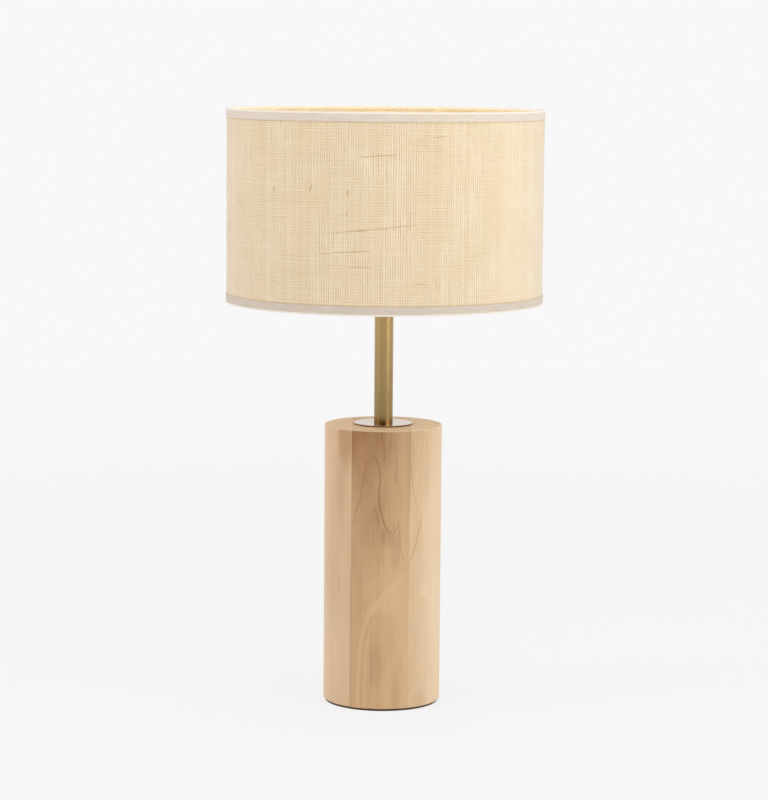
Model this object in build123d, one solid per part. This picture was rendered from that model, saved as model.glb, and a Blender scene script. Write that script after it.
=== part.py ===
"""Column table lamp: a drum shade on a brass stem over a round laminated wood column.

Millimetres, +Z up. The origin is the middle of the underside, where the lamp stands on the
table. -Y is the front and the cable leaves at the back, +Y.
"""
from build123d import *
from math import asin, cos, degrees, radians, sin, sqrt
import os

# ---------------------------------------------------------------- driving dimensions
# Fits
GLUE = 0.05            # gap left by a glue line, a weld or a screwed-together thread
SLIP_FIT = 0.1         # radial play of a part pushed into another
HOLE_PLAY = 0.5        # radial play of a clearance hole
THREAD_RELIEF = 0.1    # plain part of a threaded piece below the thread's root, in radius

# Wood column, three boards glued side by side, and the pad under it
COLUMN_R = 56.0
COLUMN_H = 266.0
COLUMN_EDGE_R = 1.0
GLUE_LEFT_X = -29.5    # first glue line
GLUE_RIGHT_X = 25.5    # second glue line
RECESS_R = 32.0        # pocket under the column that holds the nut
RECESS_DEPTH = 28.0
PAD_T = 2.0
PAD_INSET = 1.8

# Cable inlet at the back
CABLE_HOLE_R = 5.0
CABLE_HOLE_RISE = 14.0     # above the column's underside
SPOT_FACE_R = 8.5
SPOT_FACE_DEPTH = 2.0
BUSHING_FLANGE_R = 7.5
BUSHING_FLANGE_T = 2.0
BUSHING_BARREL_L = 16.0
BUSHING_BORE_R = 3.3

# Tie rod and what clamps it
ROD_R = 5.0
ROD_BORE_R = 3.75
ROD_TAIL = 4.0             # below the nut
ROD_IN_HOLDER = 11.0       # above the holder's foot
PLATE_WASHER_R = 25.0
PLATE_WASHER_T = 3.0
LOCK_WASHER_R = 8.5
LOCK_WASHER_T = 1.2
NUT_FLATS = 14.0
NUT_T = 5.0

# Brass disc, stem and its two centring pieces
DISC_R = 28.0
DISC_T = 1.5
DISC_EDGE_R = 0.4
STEM_R = 9.0
STEM_WALL = 1.0
STEM_L = 128.5
BUSH_H = 8.0
CAP_R = 10.0
CAP_FLANGE_T = 3.0
CAP_SPIGOT_L = 6.0

# Lampholder body
HOLDER_NECK_R = 9.0
HOLDER_NECK_H = 10.0
HOLDER_R = 19.0
HOLDER_WALL = 2.6
HOLDER_SEAT_R = 17.4       # seat for the insert's flange
HOLDER_RIM_H = 2.0
GRUB_R = 1.5
GRUB_RISE = 5.0
GRUB_SOCKET_R = 0.75
GRUB_SOCKET_DEPTH = 1.5

# Lampholder skirt: shoulder for the shade, thread for the lock ring
SHOULDER_R = 23.5
SHOULDER_T = 3.0
SKIRT_LAP = 4.0            # how far the skirt reaches down over the body's rim
SKIRT_BORE_R = 16.9
SKIRT_THREAD_R = 19.25     # mean radius
SKIRT_THREAD_DEPTH = 1.0
SKIRT_THREAD_PITCH = 3.0
SKIRT_THREAD_L = 18.0
SKIRT_L = 35.0             # above the shoulder

# Insulating insert with the electrical contacts
INSERT_R = 16.6
INSERT_H = 36.0
INSERT_BORE_R = 14.0
INSERT_FLOOR_RISE = 7.0    # from the insert's underside to the floor of its bore
POCKET_DEPTH = 5.5
TERMINAL_W = 5.0
TERMINAL_D = 6.0
TERMINAL_LIVE_X = -7.0
TERMINAL_NEUTRAL_X = 10.6
TERMINAL_SCREW_R = 1.25
TERMINAL_SCREW_L = 2.7
TERMINAL_HEAD_R = 1.9
TERMINAL_HEAD_T = 1.8
RIVET_R = 1.0
RIVET_HEAD_R = 1.5
RIVET_HEAD_T = 0.6
RIVET_IN_TERMINAL = 2.0
SCREW_SHELL_T = 0.5
SCREW_SHELL_L = 24.0
SCREW_SHELL_HOLE_R = 9.0
CONTACT_W = 5.0
CONTACT_T = 0.5
CONTACT_HALF_L = 8.6
CONTACT_GAP = 0.3          # left under the bulb's tip

# Edison screw of the bulb and its shell
EDISON_PITCH = 3.63
EDISON_DEPTH = 1.0
EDISON_CAP_R = 12.6        # mean radius on the bulb
EDISON_PLAY = 0.25         # radial play of the bulb in the shell
BULB_TIP_RISE = 3.0        # tip above the floor of the insert

# Bulb, heights above its tip
TIP_R = 4.7
TIP_T = 1.2
BULB_GLASS_R = 5.2
BULB_GLASS_TOP = 8.0
BULB_CAP_BOTTOM = 4.6
BULB_CAP_THREAD_L = 18.0
BULB_CAP_TOP = 26.0
BULB_CAP_BORE_R = 11.5
COLLAR_FOOT_R = 13.5
COLLAR_TOP_R = 19.5
COLLAR_TOP = 50.0
COLLAR_SPIGOT_L = 4.0
COLLAR_SPIGOT_WALL = 1.5
LED_PLATE_T = 1.2
LED_PLATE_LEDGE = 0.8
GLOBE_R = 30.0
GLOBE_CENTRE = 78.0
GLOBE_WALL = 1.2

# Shade
SHADE_R = 150.0
SHADE_H = 181.5
COVER_T = 0.7              # woven cover
LINER_T = 0.35             # stiff lining that carries it
RING_WIRE_R = 1.5
ARM_R = 1.75
ARM_COUNT = 3
ARM_FIRST_DEG = 90.0
ARM_LEVEL_RUN = 8.0        # straight out from the fitter before the arm slopes down
ARM_BEND_R = 12.0
FITTER_RISE = 40.5         # fitter's underside above the shade's lower edge
FITTER_R = 27.0
FITTER_BORE_R = 20.5
FITTER_T = 2.0
TAPE_T = 0.55
LOWER_TRIM_W = 8.0
UPPER_TRIM_W = 8.0
SEAM_W = 12.0
SEAM_T = 0.5
SEAM_GAP = 0.3             # between the lapped seam and each trim

# Lock ring and the washer under it
WASHER_R = 25.0
WASHER_BORE_R = 20.1
WASHER_T = 0.8
LOCK_RING_R = 24.5
LOCK_RING_H = 7.0
LOCK_RING_PLAY = 0.3       # radial play of its thread
GRIP_COUNT = 18
GRIP_R = 1.2

# ---------------------------------------------------------------- heights that follow
COLUMN_Z = PAD_T
COLUMN_TOP = COLUMN_Z + COLUMN_H
RECESS_TOP = COLUMN_Z + RECESS_DEPTH
CABLE_Z = COLUMN_Z + CABLE_HOLE_RISE
PLATE_WASHER_Z = RECESS_TOP - PLATE_WASHER_T
LOCK_WASHER_Z = PLATE_WASHER_Z - LOCK_WASHER_T
NUT_Z = LOCK_WASHER_Z - NUT_T
DISC_TOP = COLUMN_TOP + DISC_T
STEM_TOP = DISC_TOP + STEM_L
HOLDER_Z = STEM_TOP + CAP_FLANGE_T
DOME_R = HOLDER_R - HOLDER_NECK_R
SEAT_Z = HOLDER_Z + HOLDER_NECK_H + DOME_R
RIM_Z = SEAT_Z + HOLDER_RIM_H
SHOULDER_Z = RIM_Z + SHOULDER_T
SKIRT_TOP = SHOULDER_Z + SKIRT_L
FLOOR_Z = SEAT_Z + INSERT_FLOOR_RISE
POCKET_TOP = SEAT_Z + POCKET_DEPTH
TIP_Z = FLOOR_Z + BULB_TIP_RISE
SHADE_Z = SHOULDER_Z - FITTER_RISE
SHADE_TOP = SHADE_Z + SHADE_H
WASHER_Z = SHOULDER_Z + FITTER_T
LOCK_RING_Z = WASHER_Z + WASHER_T

# Radii that follow
LINER_R = SHADE_R - COVER_T - GLUE
LINER_BORE_R = LINER_R - LINER_T
RING_R = LINER_BORE_R - GLUE - RING_WIRE_R
LOWER_RING_Z = SHADE_Z + RING_WIRE_R
UPPER_RING_Z = SHADE_TOP - RING_WIRE_R


# ---------------------------------------------------------------- shape helpers
def ring(outer_r, bore_r, low, high):
    """Plain ring between two heights."""
    height = high - low
    middle = Pos(0, 0, (low + high) / 2)
    return middle * Cylinder(outer_r, height) - middle * Cylinder(bore_r, height)


def rod(radius, low, high, x=0.0, y=0.0):
    """Upright round bar between two heights."""
    return Pos(x, y, (low + high) / 2) * Cylinder(radius, high - low)


def block(size_x, size_y, low, high, x=0.0):
    """Upright rectangular block between two heights."""
    return Pos(x, 0, (low + high) / 2) * Box(size_x, size_y, high - low)


def line(*points):
    """Straight runs through (radius, height) points, in the XZ plane."""
    return Polyline(*[(r, 0, z) for r, z in points])


def arc(centre, radius, start, end):
    """Arc about a (radius, height) centre, in degrees from the outward direction."""
    def at(angle):
        turn = radians(angle)
        return (centre[0] + radius * cos(turn), 0, centre[1] + radius * sin(turn))
    return ThreePointArc(at(start), at((start + end) / 2), at(end))


def turned(*edges):
    """Solid turned about Z from a closed outline in the XZ plane."""
    return revolve(make_face(list(edges)), Axis.Z)


def screw(mean_r, depth, pitch, low, high, phase_z):
    """Bar with a round right-hand thread: a disc whose centre climbs a helix.

    Threads with the same pitch, depth and phase_z run parallel to each other.
    """
    helix = Helix(pitch=pitch, height=high - low, radius=depth / 2)
    disc = Pos(depth / 2, 0, 0) * Circle(mean_r)
    bar = Solid.sweep(disc.face(), helix, mode=Vector(0, 0, 1))
    turn = 360 * (low - phase_z) / pitch
    return Pos(0, 0, low) * Rot(0, 0, turn) * bar


# ---------------------------------------------------------------- column
def base_pad():
    return rod(COLUMN_R - PAD_INSET, 0, PAD_T)


def board(from_x, to_x):
    """One upright board of the column, between two glue lines."""
    width = to_x - from_x
    wood = rod(COLUMN_R, COLUMN_Z, COLUMN_TOP)
    wood &= block(width, 2 * COLUMN_R, COLUMN_Z, COLUMN_TOP, from_x + width / 2)
    wood = fillet(wood.edges().filter_by(GeomType.CIRCLE), COLUMN_EDGE_R)
    wood -= rod(RECESS_R, COLUMN_Z, RECESS_TOP)
    wood -= rod(ROD_R + HOLE_PLAY, RECESS_TOP, COLUMN_TOP)
    towards_back = Pos(0, 0, CABLE_Z) * Rot(-90, 0, 0)
    wood -= towards_back * rod(CABLE_HOLE_R, 0, COLUMN_R)
    wood -= towards_back * rod(SPOT_FACE_R, COLUMN_R - SPOT_FACE_DEPTH, COLUMN_R + SPOT_FACE_DEPTH)
    return wood


def cable_bushing():
    """Flanged grommet that lines the cable hole at the back."""
    seat = COLUMN_R - SPOT_FACE_DEPTH
    flange = rod(BUSHING_FLANGE_R, seat, seat + BUSHING_FLANGE_T)
    flange = fillet(flange.edges().filter_by(GeomType.CIRCLE).sort_by(Axis.Z)[-1], BUSHING_FLANGE_T / 2)
    barrel = rod(CABLE_HOLE_R - SLIP_FIT, seat - BUSHING_BARREL_L, seat)
    bore = rod(BUSHING_BORE_R, seat - BUSHING_BARREL_L, seat + BUSHING_FLANGE_T)
    return Pos(0, 0, CABLE_Z) * Rot(-90, 0, 0) * (flange + barrel - bore)


# ---------------------------------------------------------------- tie rod
def plate_washer():
    return ring(PLATE_WASHER_R, ROD_R + HOLE_PLAY, PLATE_WASHER_Z, RECESS_TOP)


def lock_washer():
    return ring(LOCK_WASHER_R, ROD_R + HOLE_PLAY, LOCK_WASHER_Z, PLATE_WASHER_Z)


def rod_nut():
    hexagon = RegularPolygon(NUT_FLATS / 2, 6, major_radius=False)
    return Pos(0, 0, NUT_Z) * extrude(hexagon, NUT_T) - rod(ROD_R + GLUE, NUT_Z, LOCK_WASHER_Z)


def threaded_rod():
    return ring(ROD_R, ROD_BORE_R, NUT_Z - ROD_TAIL, HOLDER_Z + ROD_IN_HOLDER)


# ---------------------------------------------------------------- stem
def brass_disc():
    disc = rod(DISC_R, COLUMN_TOP, DISC_TOP)
    disc = fillet(disc.edges().filter_by(GeomType.CIRCLE), DISC_EDGE_R)
    return disc - rod(ROD_R + HOLE_PLAY, COLUMN_TOP, DISC_TOP)


def stem_bush():
    """Bush on the disc that centres the foot of the stem on the rod."""
    return ring(STEM_R - STEM_WALL - SLIP_FIT, ROD_R + SLIP_FIT, DISC_TOP, DISC_TOP + BUSH_H)


def stem_tube():
    return ring(STEM_R, STEM_R - STEM_WALL, DISC_TOP, STEM_TOP)


def stem_cap():
    """Flanged cap that closes the stem and carries the lampholder."""
    bore_r = ROD_R + SLIP_FIT
    spigot_r = STEM_R - STEM_WALL - SLIP_FIT
    flange = ring(CAP_R, bore_r, STEM_TOP, HOLDER_Z)
    return flange + ring(spigot_r, bore_r, STEM_TOP - CAP_SPIGOT_L, STEM_TOP)


# ---------------------------------------------------------------- lampholder
def holder_dome():
    """Lower half of the lampholder: a neck screwed on the rod and a rounded cup."""
    inner_r = DOME_R - HOLDER_WALL
    bore_r = ROD_R + GLUE
    centre = (HOLDER_NECK_R, SEAT_Z)
    outside = arc(centre, DOME_R, -90, 0)
    rim = line(
        (HOLDER_R, SEAT_Z), (HOLDER_R, RIM_Z), (HOLDER_SEAT_R, RIM_Z),
        (HOLDER_SEAT_R, SEAT_Z), (HOLDER_NECK_R + inner_r, SEAT_Z),
    )
    inside = arc(centre, inner_r, 0, -90)
    neck = line(
        (HOLDER_NECK_R, SEAT_Z - inner_r), (bore_r, SEAT_Z - inner_r), (bore_r, HOLDER_Z),
        (HOLDER_NECK_R, HOLDER_Z), (HOLDER_NECK_R, HOLDER_Z + HOLDER_NECK_H),
    )
    dome = turned(outside, rim, inside, neck)
    return dome - grub_bar(GRUB_R + GLUE, HOLDER_NECK_R)


def grub_bar(radius, end_r):
    """Bar along -X from the rod's surface, at the height of the grub screw."""
    return Pos(0, 0, HOLDER_Z + GRUB_RISE) * Rot(0, -90, 0) * rod(radius, ROD_R, end_r)


def holder_grub_screw():
    socket_from = HOLDER_NECK_R - GRUB_SOCKET_DEPTH
    key_way = Rot(0, -90, 0) * rod(GRUB_SOCKET_R, socket_from, HOLDER_NECK_R)
    return grub_bar(GRUB_R, HOLDER_NECK_R) - Pos(0, 0, HOLDER_Z + GRUB_RISE) * key_way


def holder_skirt():
    """Upper half of the lampholder: laps over the body, carries the shade, takes the lock ring."""
    lap_r = HOLDER_R + GLUE
    thread_top = SHOULDER_Z + SKIRT_THREAD_L
    plain_r = SKIRT_THREAD_R - SKIRT_THREAD_DEPTH / 2 - THREAD_RELIEF
    collar = ring(SHOULDER_R, lap_r, RIM_Z - SKIRT_LAP, RIM_Z)
    shoulder = ring(SHOULDER_R, SKIRT_BORE_R, RIM_Z, SHOULDER_Z)
    thread = screw(
        SKIRT_THREAD_R, SKIRT_THREAD_DEPTH, SKIRT_THREAD_PITCH, SHOULDER_Z, thread_top, SHOULDER_Z
    )
    thread += rod(plain_r, thread_top, SKIRT_TOP)
    return collar + shoulder + (thread - rod(SKIRT_BORE_R, SHOULDER_Z, SKIRT_TOP))


def holder_insert():
    """Insulator: a flange clamped between the two halves, a deep bore and two pockets below."""
    flange = rod(HOLDER_SEAT_R - SLIP_FIT, SEAT_Z, RIM_Z)
    insert = flange + rod(INSERT_R, RIM_Z, SEAT_Z + INSERT_H)
    insert -= rod(INSERT_BORE_R, FLOOR_Z, SEAT_Z + INSERT_H)
    for x in (TERMINAL_LIVE_X, TERMINAL_NEUTRAL_X):
        width = TERMINAL_W + 2 * SLIP_FIT
        depth = TERMINAL_D + 2 * SLIP_FIT
        insert -= block(width, depth, SEAT_Z, POCKET_TOP, x)
        insert -= rod(RIVET_R + GLUE, POCKET_TOP, FLOOR_Z, x)
    return insert


def terminal_blocks():
    """Two brass terminals, live and neutral, in the pockets of the insert."""
    blocks = []
    for x in (TERMINAL_LIVE_X, TERMINAL_NEUTRAL_X):
        terminal = block(TERMINAL_W, TERMINAL_D, SEAT_Z, POCKET_TOP, x)
        terminal -= rod(TERMINAL_SCREW_R + GLUE, SEAT_Z, SEAT_Z + TERMINAL_SCREW_L, x)
        terminal -= rod(RIVET_R + GLUE, POCKET_TOP - RIVET_IN_TERMINAL, POCKET_TOP, x)
        blocks.append(terminal)
    return Compound(blocks)


def terminal_screws():
    screws = []
    for x in (TERMINAL_LIVE_X, TERMINAL_NEUTRAL_X):
        head = rod(TERMINAL_HEAD_R, SEAT_Z - TERMINAL_HEAD_T, SEAT_Z, x)
        screws.append(head + rod(TERMINAL_SCREW_R, SEAT_Z, SEAT_Z + TERMINAL_SCREW_L, x))
    return Compound(screws)


def contact_rivets():
    """Rivets that join each contact to its terminal through the floor of the insert."""
    rivets = []
    for x, sheet_t in ((TERMINAL_LIVE_X, CONTACT_T), (TERMINAL_NEUTRAL_X, SCREW_SHELL_T)):
        head_z = FLOOR_Z + sheet_t
        shank = rod(RIVET_R, POCKET_TOP - RIVET_IN_TERMINAL, head_z, x)
        rivets.append(shank + rod(RIVET_HEAD_R, head_z, head_z + RIVET_HEAD_T, x))
    return Compound(rivets)


def holder_screw_shell():
    """Threaded sheet-metal shell that takes the bulb, with a holed floor."""
    inner_r = EDISON_CAP_R + EDISON_PLAY
    top = FLOOR_Z + SCREW_SHELL_L
    thread_z = FLOOR_Z + SCREW_SHELL_T
    outside = screw(inner_r + SCREW_SHELL_T, EDISON_DEPTH, EDISON_PITCH, FLOOR_Z, top, FLOOR_Z)
    inside = screw(inner_r, EDISON_DEPTH, EDISON_PITCH, thread_z, top, FLOOR_Z)
    shell = outside - inside - rod(SCREW_SHELL_HOLE_R, FLOOR_Z, thread_z)
    return shell - rod(RIVET_R + GLUE, FLOOR_Z, thread_z, TERMINAL_NEUTRAL_X)


def centre_contact():
    """Springy strip, raised in the middle, that meets the tip of the bulb."""
    top = TIP_Z - CONTACT_GAP
    rise = top - FLOOR_Z - CONTACT_T
    crown = TIP_R / 2
    foot = crown + rise
    profile = Polyline(
        (-CONTACT_HALF_L, 0, FLOOR_Z), (-foot, 0, FLOOR_Z), (-crown, 0, FLOOR_Z + rise),
        (crown, 0, FLOOR_Z + rise), (foot, 0, FLOOR_Z), (CONTACT_HALF_L, 0, FLOOR_Z),
        (CONTACT_HALF_L, 0, FLOOR_Z + CONTACT_T), (foot, 0, FLOOR_Z + CONTACT_T), (crown, 0, top),
        (-crown, 0, top), (-foot, 0, FLOOR_Z + CONTACT_T), (-CONTACT_HALF_L, 0, FLOOR_Z + CONTACT_T),
        close=True,
    )
    strip = extrude(make_face(profile), CONTACT_W / 2, both=True)
    return strip - rod(RIVET_R + GLUE, FLOOR_Z, FLOOR_Z + CONTACT_T, TERMINAL_LIVE_X)


# ---------------------------------------------------------------- shade
def fitter_ring():
    return ring(FITTER_R, FITTER_BORE_R, SHOULDER_Z, WASHER_Z)


def arm_slope():
    """Bend of an arm, and the point on the lower ring's centre line that it slopes down to."""
    bend = Vector(FITTER_R + ARM_LEVEL_RUN, 0, SHOULDER_Z + FITTER_T / 2)
    return bend, Vector(RING_R, 0, LOWER_RING_Z)


def arm_turn(number):
    return Rot(0, 0, ARM_FIRST_DEG + 360 / ARM_COUNT * number)


def spider_arm(number):
    """Wire from the edge of the fitter out and down to the lower ring."""
    bend, foot = arm_slope()
    end = foot - (foot - bend).normalized() * (RING_WIRE_R + GLUE)
    path = FilletPolyline((FITTER_R + GLUE, 0, bend.Z), bend, end, radius=ARM_BEND_R)
    wire = sweep(Plane(origin=path @ 0, z_dir=path % 0) * Circle(ARM_R), path)
    return arm_turn(number) * wire


def arm_notch(number):
    """What an arm takes out of the tape that it passes through."""
    bend, foot = arm_slope()
    length = (foot - bend).length / 2
    bar = Pos(0, 0, length / 2) * Cylinder(ARM_R + GLUE, length)
    return arm_turn(number) * (Plane(origin=foot, z_dir=bend - foot) * bar)


def wire_ring(z):
    return Pos(0, 0, z) * Torus(RING_R, RING_WIRE_R)


def shade_liner():
    return ring(LINER_R, LINER_BORE_R, SHADE_Z, SHADE_TOP)


def raffia_cover():
    """Woven cover, with its lapped seam upright at the back between the trims."""
    cover = ring(SHADE_R, SHADE_R - COVER_T, SHADE_Z, SHADE_TOP)
    seam_low = SHADE_Z + LOWER_TRIM_W + SEAM_GAP
    seam_high = SHADE_TOP - UPPER_TRIM_W - SEAM_GAP
    lap = ring(SHADE_R + SEAM_T, SHADE_R - COVER_T / 2, seam_low, seam_high)
    strip = Pos(0, SHADE_R, (seam_low + seam_high) / 2) * Box(SEAM_W, SHADE_R / 2, seam_high - seam_low)
    return cover + (lap & strip)


def edge_tape(edge_z, ring_z, width):
    """Tape folded over an edge of the shade and round its wire ring, ending width inside it."""
    inward = 1 if ring_z > edge_z else -1
    sheet_t = SHADE_R - LINER_BORE_R
    sheet_mid_r = (SHADE_R + LINER_BORE_R) / 2
    length = 2 * width
    sheet_mid_z = edge_z + inward * length / 2
    wrapped = Plane.XZ * Pos(sheet_mid_r, sheet_mid_z) * Rectangle(sheet_t + 2 * GLUE, length + 2 * GLUE)
    wrapped += Plane.XZ * Pos(RING_R, ring_z) * Circle(RING_WIRE_R + GLUE)
    proud = GLUE + TAPE_T
    round_sheet = RectangleRounded(sheet_t + 2 * proud, length + 2 * proud, proud)
    outline = Plane.XZ * Pos(sheet_mid_r, sheet_mid_z) * round_sheet
    outline += Plane.XZ * Pos(RING_R, ring_z) * Circle(RING_WIRE_R + proud)
    beyond_z = edge_z + inward * (width + length)
    beyond = Plane.XZ * Pos(sheet_mid_r, beyond_z) * Rectangle(sheet_t + 4 * proud, 2 * length)
    return revolve(outline - wrapped - beyond, Axis.Z)


def lower_trim():
    """Tape round the lower edge, notched where the arms pass through it."""
    tape = edge_tape(SHADE_Z, LOWER_RING_Z, LOWER_TRIM_W)
    for number in range(ARM_COUNT):
        tape -= arm_notch(number)
    return tape


def upper_trim():
    return edge_tape(SHADE_TOP, UPPER_RING_Z, UPPER_TRIM_W)


# ---------------------------------------------------------------- lock ring
def slip_washer():
    return ring(WASHER_R, WASHER_BORE_R, WASHER_Z, LOCK_RING_Z)


def lock_ring():
    """Ring with a notched grip that clamps the fitter down on the shoulder."""
    top = LOCK_RING_Z + LOCK_RING_H
    body = rod(LOCK_RING_R, LOCK_RING_Z, top)
    for place in PolarLocations(LOCK_RING_R, GRIP_COUNT):
        body -= place * rod(GRIP_R, LOCK_RING_Z, top)
    thread = screw(
        SKIRT_THREAD_R + LOCK_RING_PLAY, SKIRT_THREAD_DEPTH, SKIRT_THREAD_PITCH,
        LOCK_RING_Z - SKIRT_THREAD_PITCH, top + SKIRT_THREAD_PITCH, SHOULDER_Z,
    )
    return body - thread


# ---------------------------------------------------------------- bulb
def bulb_tip():
    return rod(TIP_R, TIP_Z, TIP_Z + TIP_T)


def bulb_insulator():
    """Tapered insulator between the tip and the screw cap."""
    plug_r = BULB_CAP_BORE_R - SLIP_FIT
    low = TIP_Z + TIP_T
    return turned(line(
        (0, low), (BULB_GLASS_R, low), (plug_r, TIP_Z + BULB_CAP_BOTTOM), (plug_r, TIP_Z + BULB_GLASS_TOP),
        (0, TIP_Z + BULB_GLASS_TOP), (0, low),
    ))


def bulb_cap():
    """Edison screw cap: threaded below, plain and just narrower than the thread's root above."""
    low = TIP_Z + BULB_CAP_BOTTOM
    middle = low + BULB_CAP_THREAD_L
    top = TIP_Z + BULB_CAP_TOP
    plain_r = EDISON_CAP_R - EDISON_DEPTH / 2 - THREAD_RELIEF
    thread = screw(EDISON_CAP_R, EDISON_DEPTH, EDISON_PITCH, low, middle, FLOOR_Z)
    return thread + rod(plain_r, middle, top) - rod(BULB_CAP_BORE_R, low, top)


def globe_flank():
    """Radius and centre radius of the globe's lower flank, from its waist down to the collar."""
    drop = GLOBE_CENTRE - COLLAR_TOP
    taper = GLOBE_R - COLLAR_TOP_R
    flank_r = (taper**2 + drop**2) / (2 * taper)
    return flank_r, GLOBE_R - flank_r


def globe_neck_bore_r():
    """Inner radius of the globe where it meets the collar."""
    flank_r, centre_r = globe_flank()
    drop = GLOBE_CENTRE - COLLAR_TOP
    return centre_r + sqrt((flank_r - GLOBE_WALL)**2 - drop**2)


def bulb_collar():
    """Flared collar from the cap to the globe, with a spigot in the cap and a ledge at the top."""
    foot = TIP_Z + BULB_CAP_TOP
    top = TIP_Z + COLLAR_TOP
    spigot_r = BULB_CAP_BORE_R - SLIP_FIT
    inner_r = spigot_r - COLLAR_SPIGOT_WALL
    ledge_r = globe_neck_bore_r() - SLIP_FIT - LED_PLATE_LEDGE
    return turned(line(
        (inner_r, foot - COLLAR_SPIGOT_L), (spigot_r, foot - COLLAR_SPIGOT_L), (spigot_r, foot),
        (COLLAR_FOOT_R, foot), (COLLAR_TOP_R, top), (ledge_r, top), (inner_r, foot),
        (inner_r, foot - COLLAR_SPIGOT_L),
    ))


def led_plate():
    low = TIP_Z + COLLAR_TOP
    return rod(globe_neck_bore_r() - SLIP_FIT, low, low + LED_PLATE_T)


def bulb_globe():
    """Thin opal globe: a half sphere over a flank that tapers to the collar."""
    flank_r, centre_r = globe_flank()
    waist = TIP_Z + GLOBE_CENTRE
    neck = TIP_Z + COLLAR_TOP
    crown = waist + GLOBE_R
    inner_flank_r = flank_r - GLOBE_WALL
    outer_deg = degrees(asin((neck - waist) / flank_r))
    inner_deg = degrees(asin((neck - waist) / inner_flank_r))
    return turned(
        arc((centre_r, waist), flank_r, outer_deg, 0),
        arc((0, waist), GLOBE_R, 0, 90),
        line((0, crown), (0, crown - GLOBE_WALL)),
        arc((0, waist), GLOBE_R - GLOBE_WALL, 90, 0),
        arc((centre_r, waist), inner_flank_r, 0, inner_deg),
        line((globe_neck_bore_r(), neck), (COLLAR_TOP_R, neck)),
    )


# ---------------------------------------------------------------- every piece, by name
NODES = {
    "base_pad": base_pad(),
    "wood_board_left": board(-COLUMN_R, GLUE_LEFT_X),
    "wood_board_core": board(GLUE_LEFT_X, GLUE_RIGHT_X),
    "wood_board_right": board(GLUE_RIGHT_X, COLUMN_R),
    "cable_bushing": cable_bushing(),
    "plate_washer": plate_washer(),
    "lock_washer": lock_washer(),
    "rod_nut": rod_nut(),
    "threaded_rod": threaded_rod(),
    "brass_disc": brass_disc(),
    "stem_bush": stem_bush(),
    "stem_tube": stem_tube(),
    "stem_cap": stem_cap(),
    "holder_dome": holder_dome(),
    "holder_grub_screw": holder_grub_screw(),
    "holder_skirt": holder_skirt(),
    "holder_insert": holder_insert(),
    "holder_screw_shell": holder_screw_shell(),
    "centre_contact": centre_contact(),
    "terminal_blocks": terminal_blocks(),
    "terminal_screws": terminal_screws(),
    "contact_rivets": contact_rivets(),
    "fitter_ring": fitter_ring(),
    "lower_wire_ring": wire_ring(LOWER_RING_Z),
    "upper_wire_ring": wire_ring(UPPER_RING_Z),
    "shade_liner": shade_liner(),
    "raffia_cover": raffia_cover(),
    "lower_trim": lower_trim(),
    "upper_trim": upper_trim(),
    "slip_washer": slip_washer(),
    "lock_ring": lock_ring(),
    "bulb_tip": bulb_tip(),
    "bulb_insulator": bulb_insulator(),
    "bulb_cap": bulb_cap(),
    "bulb_collar": bulb_collar(),
    "led_plate": led_plate(),
    "bulb_globe": bulb_globe(),
}
for arm_number in range(ARM_COUNT):
    NODES[f"spider_arm_{arm_number + 1}"] = spider_arm(arm_number)

os.makedirs("parts", exist_ok=True)
for node, shape in NODES.items():
    export_step(shape, f"parts/{node}.step")
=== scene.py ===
"""Looks of the column table lamp, built round its CAD model.

Metres, +Z up, the origin in the middle of the underside. -Y is the front.
"""

from math import atan, cos, hypot, pi, radians, sin, sqrt

import bmesh
import bpy
import numpy as np
from mathutils import Matrix, Vector, noise as perlin


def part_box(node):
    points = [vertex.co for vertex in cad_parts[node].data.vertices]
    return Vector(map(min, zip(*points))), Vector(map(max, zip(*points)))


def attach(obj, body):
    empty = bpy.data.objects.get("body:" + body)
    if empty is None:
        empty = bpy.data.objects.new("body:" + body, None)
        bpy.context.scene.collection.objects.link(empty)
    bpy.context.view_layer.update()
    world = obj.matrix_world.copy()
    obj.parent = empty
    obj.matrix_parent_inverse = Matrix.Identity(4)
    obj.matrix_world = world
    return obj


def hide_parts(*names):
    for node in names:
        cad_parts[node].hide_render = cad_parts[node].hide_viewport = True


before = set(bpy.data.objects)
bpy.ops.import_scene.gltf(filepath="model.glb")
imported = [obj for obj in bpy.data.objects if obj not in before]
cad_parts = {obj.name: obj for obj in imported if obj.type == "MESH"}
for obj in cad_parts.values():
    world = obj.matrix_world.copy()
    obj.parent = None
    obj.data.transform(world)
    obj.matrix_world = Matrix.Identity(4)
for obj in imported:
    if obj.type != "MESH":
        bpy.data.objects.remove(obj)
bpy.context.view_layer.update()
MM = 0.001

# ---------------------------------------------------------------- camera
IMAGE_W, IMAGE_H = 768, 800
FOCAL_PX = 2800.0
CAMERA_AT = Vector((0.0, -2.655, 0.6223))
CAMERA_TILT = 0.1242          # down from level
CAMERA_ROLL = 0.0078
AXIS_PX = 383.5               # where the lamp's axis stands in the image
MIDDLE_PY = 570               # half way up the column

turn_right = atan((IMAGE_W / 2 - AXIS_PX) / FOCAL_PX)
CAMERA_TURN = (
    Matrix.Rotation(-turn_right, 4, "Z")
    @ Matrix.Rotation(pi / 2 - CAMERA_TILT, 4, "X")
    @ Matrix.Rotation(CAMERA_ROLL, 4, "Z")
)

camera_data = bpy.data.cameras.new("camera")
camera_data.sensor_width = 36.0
camera_data.lens = FOCAL_PX * camera_data.sensor_width / IMAGE_H
camera = bpy.data.objects.new("camera", camera_data)
camera.matrix_world = Matrix.Translation(CAMERA_AT) @ CAMERA_TURN
bpy.context.scene.collection.objects.link(camera)
bpy.context.scene.camera = camera


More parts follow.
